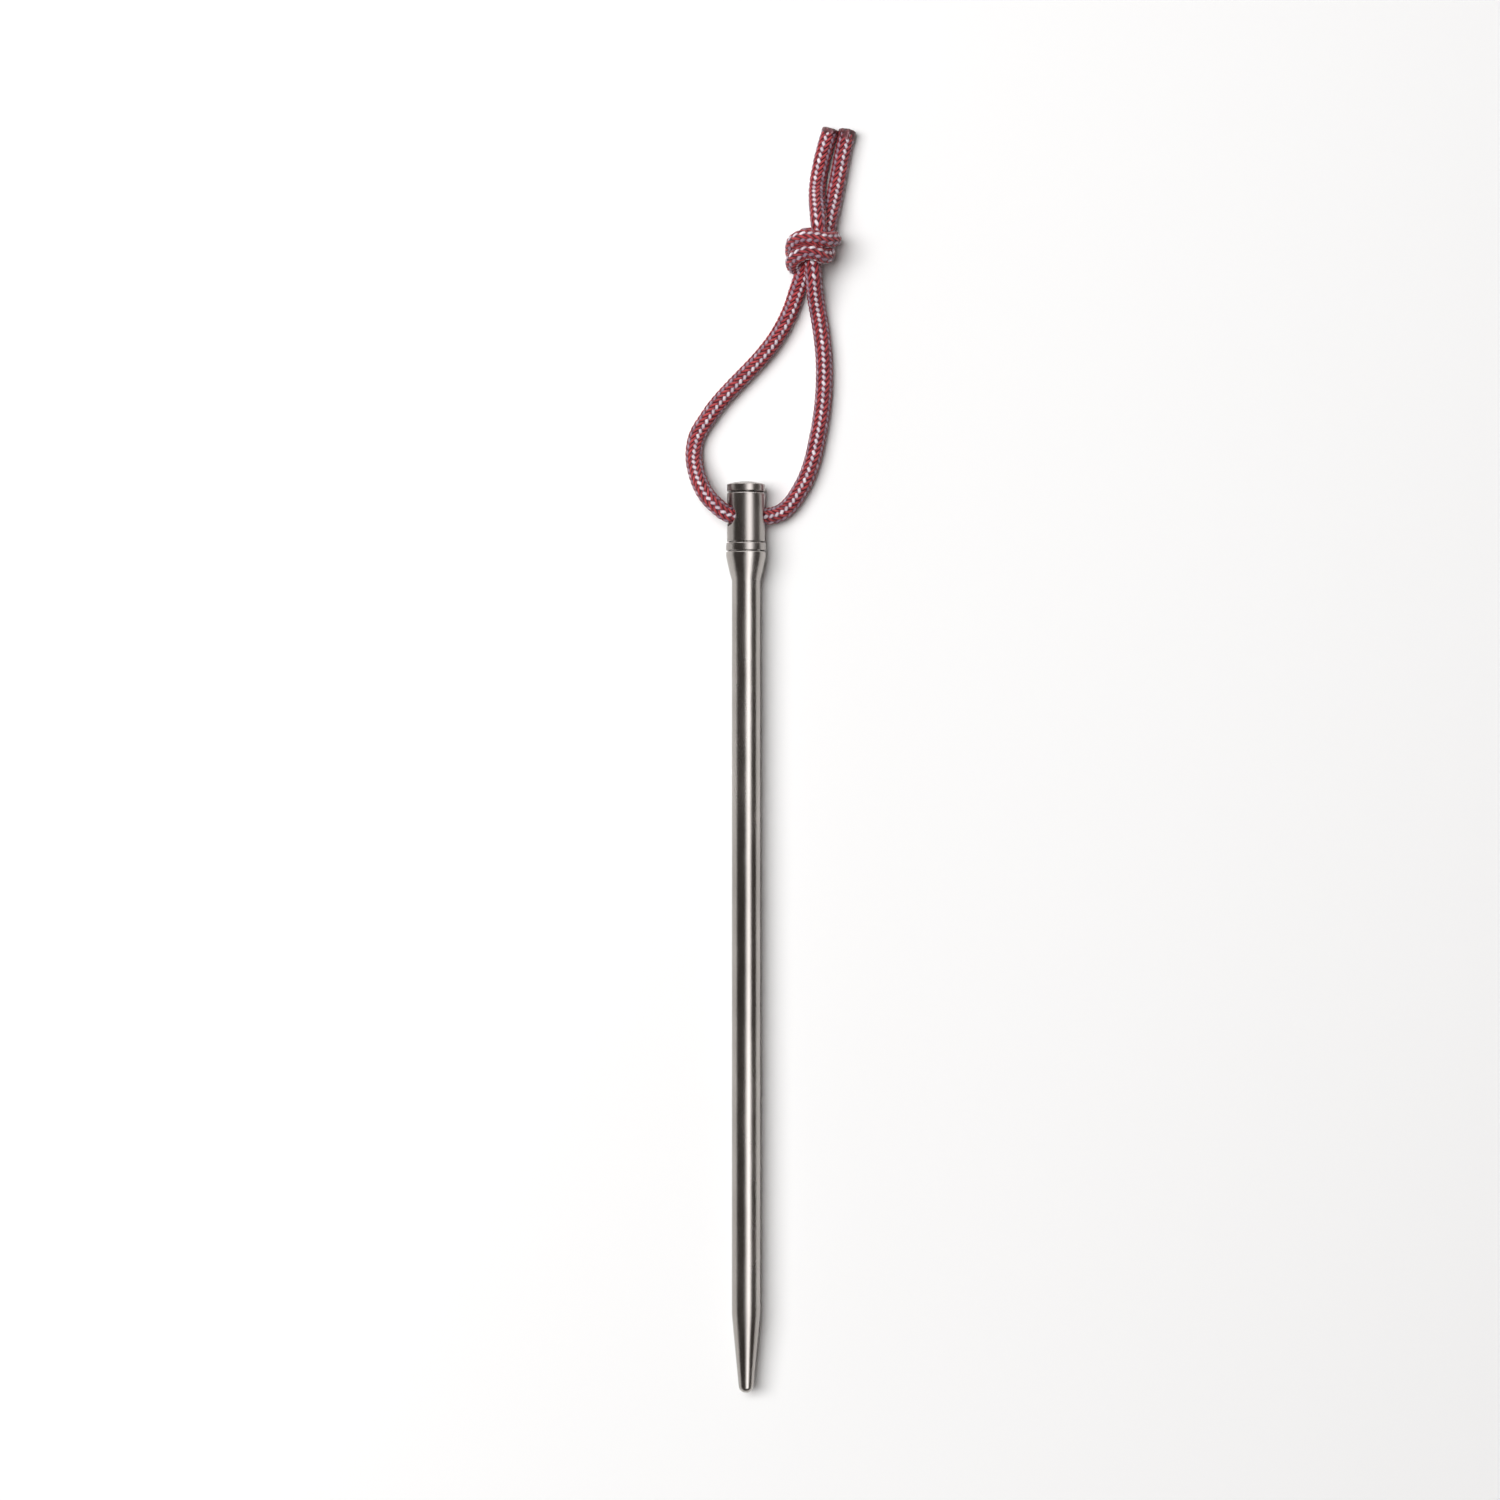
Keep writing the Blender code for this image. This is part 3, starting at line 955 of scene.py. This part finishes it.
def add_melted_end(cord, path, fused, slant, draw):
    """Fused end of the cord, fused millimetres long: lumpy, a little slanted, rounded over.

    The profile is (height past the end of the route, radius), in millimetres. The slant cuts the
    end back on one side and does not lengthen it on the other.
    """
    outer_radius = 1.4
    profile = [(-fused - 0.6, 1.12), (-fused - 0.2, 1.38), (-fused, 1.47), (-0.5 * fused, 1.50),
               (0.05, 1.49), (0.28, 1.43), (0.44, 1.28), (0.52, 1.05), (0.54, 0.7), (0.5, 0.3)]
    turns = even_turns(40)
    lumps = sum(draw.uniform(0.02, 0.05) * np.cos(n * turns + draw.uniform(0.0, 6.3))
                for n in (2, 3, 5, 7, 11))
    out = path.outward([-1], turns)[0]
    rings = []
    for height, radius in profile:
        reach = radius * (1.0 + lumps)
        rise = height + slant * reach * np.cos(turns) - abs(slant) * outer_radius
        ring = out * reach[:, None] + path.ahead[-1] * rise[:, None]
        rings.append(path.points[-1] + ring * MM)
    rings = np.array(rings)
    along = np.array([height for height, _ in profile]) * MM
    painted_light = np.full(rings.shape[:2], 0.5)
    cord.add_tube(rings, along, turns * 1.3 * MM, painted_light, draw.random(), MELTED)


def cord_mesh(name, path, fused, slant, seed):
    """Mesh of half of the cord: the strands of its braid, the core and the fused end."""
    draw = random.Random(seed)
    cord = CordMesh()
    for material in (WHITE, RED):
        for start in even_turns(STRANDS_EACH_WAY):
            add_strand(cord, path, start, material, draw.random())
    add_core(cord, path)
    add_melted_end(cord, path, fused, slant, draw)
    return cord.to_mesh(name)


def add_cord(mesh, materials, nodes):
    """Half of the braided cord, from the middle of the eye through the knot to its cut end."""
    for material in materials:
        mesh.materials.append(material)
    piece = bpy.data.objects.new(mesh.name, mesh)
    bpy.context.scene.collection.objects.link(piece)
    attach(piece, "pull_loop")
    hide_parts(*nodes)


def cord_materials():
    """The cord's materials, in the order of its slots; yarn tones run from shaded to lit."""
    return [
        yarn_material("white_yarn", ((0.07, 0.02, 0.035), (0.31, 0.205, 0.265),
                                     (0.82, 0.73, 0.77)), 0.1),
        yarn_material("red_yarn", ((0.05, 0.004, 0.008), (0.17, 0.014, 0.022),
                                   (0.44, 0.048, 0.053)), 0.1),
        # The core's very dark tones are painted shade for the gaps between the strands
        yarn_material("core_yarn", ((0.04, 0.008, 0.014), (0.08, 0.012, 0.022),
                                    (0.12, 0.02, 0.035)), 0.0),
        melted_material(),
    ]


def add_cords():
    materials = cord_materials()
    left = CordPath(LEFT_ROUTE, LEFT_LINES)
    right = CordPath(RIGHT_ROUTE, RIGHT_LINES)
    add_cord(cord_mesh("cord_left_braid", left, 0.35, 0.12, 3), materials,
             ("cord_leg_left", "cord_tail_left", "cord_knot"))
    add_cord(cord_mesh("cord_right_braid", right, 1.3, 0.0, 8), materials,
             ("cord_leg_right", "cord_tail_right", "cord_knot"))


def add_metal():
    turned = metal_material("turned_titanium", ((0.29, 0.265, 0.25), (0.40, 0.37, 0.35)),
                            0.004, 0.003, (0.22, 0.33))
    drawn = metal_material("drawn_titanium", ((0.33, 0.305, 0.285), (0.46, 0.43, 0.405)),
                           0.002, 0.012, (0.18, 0.30))
    add_cap(turned)
    add_head(turned)
    add_ring(turned)
    add_shaft(drawn)


add_camera()
add_cords()
add_metal()
add_stage()
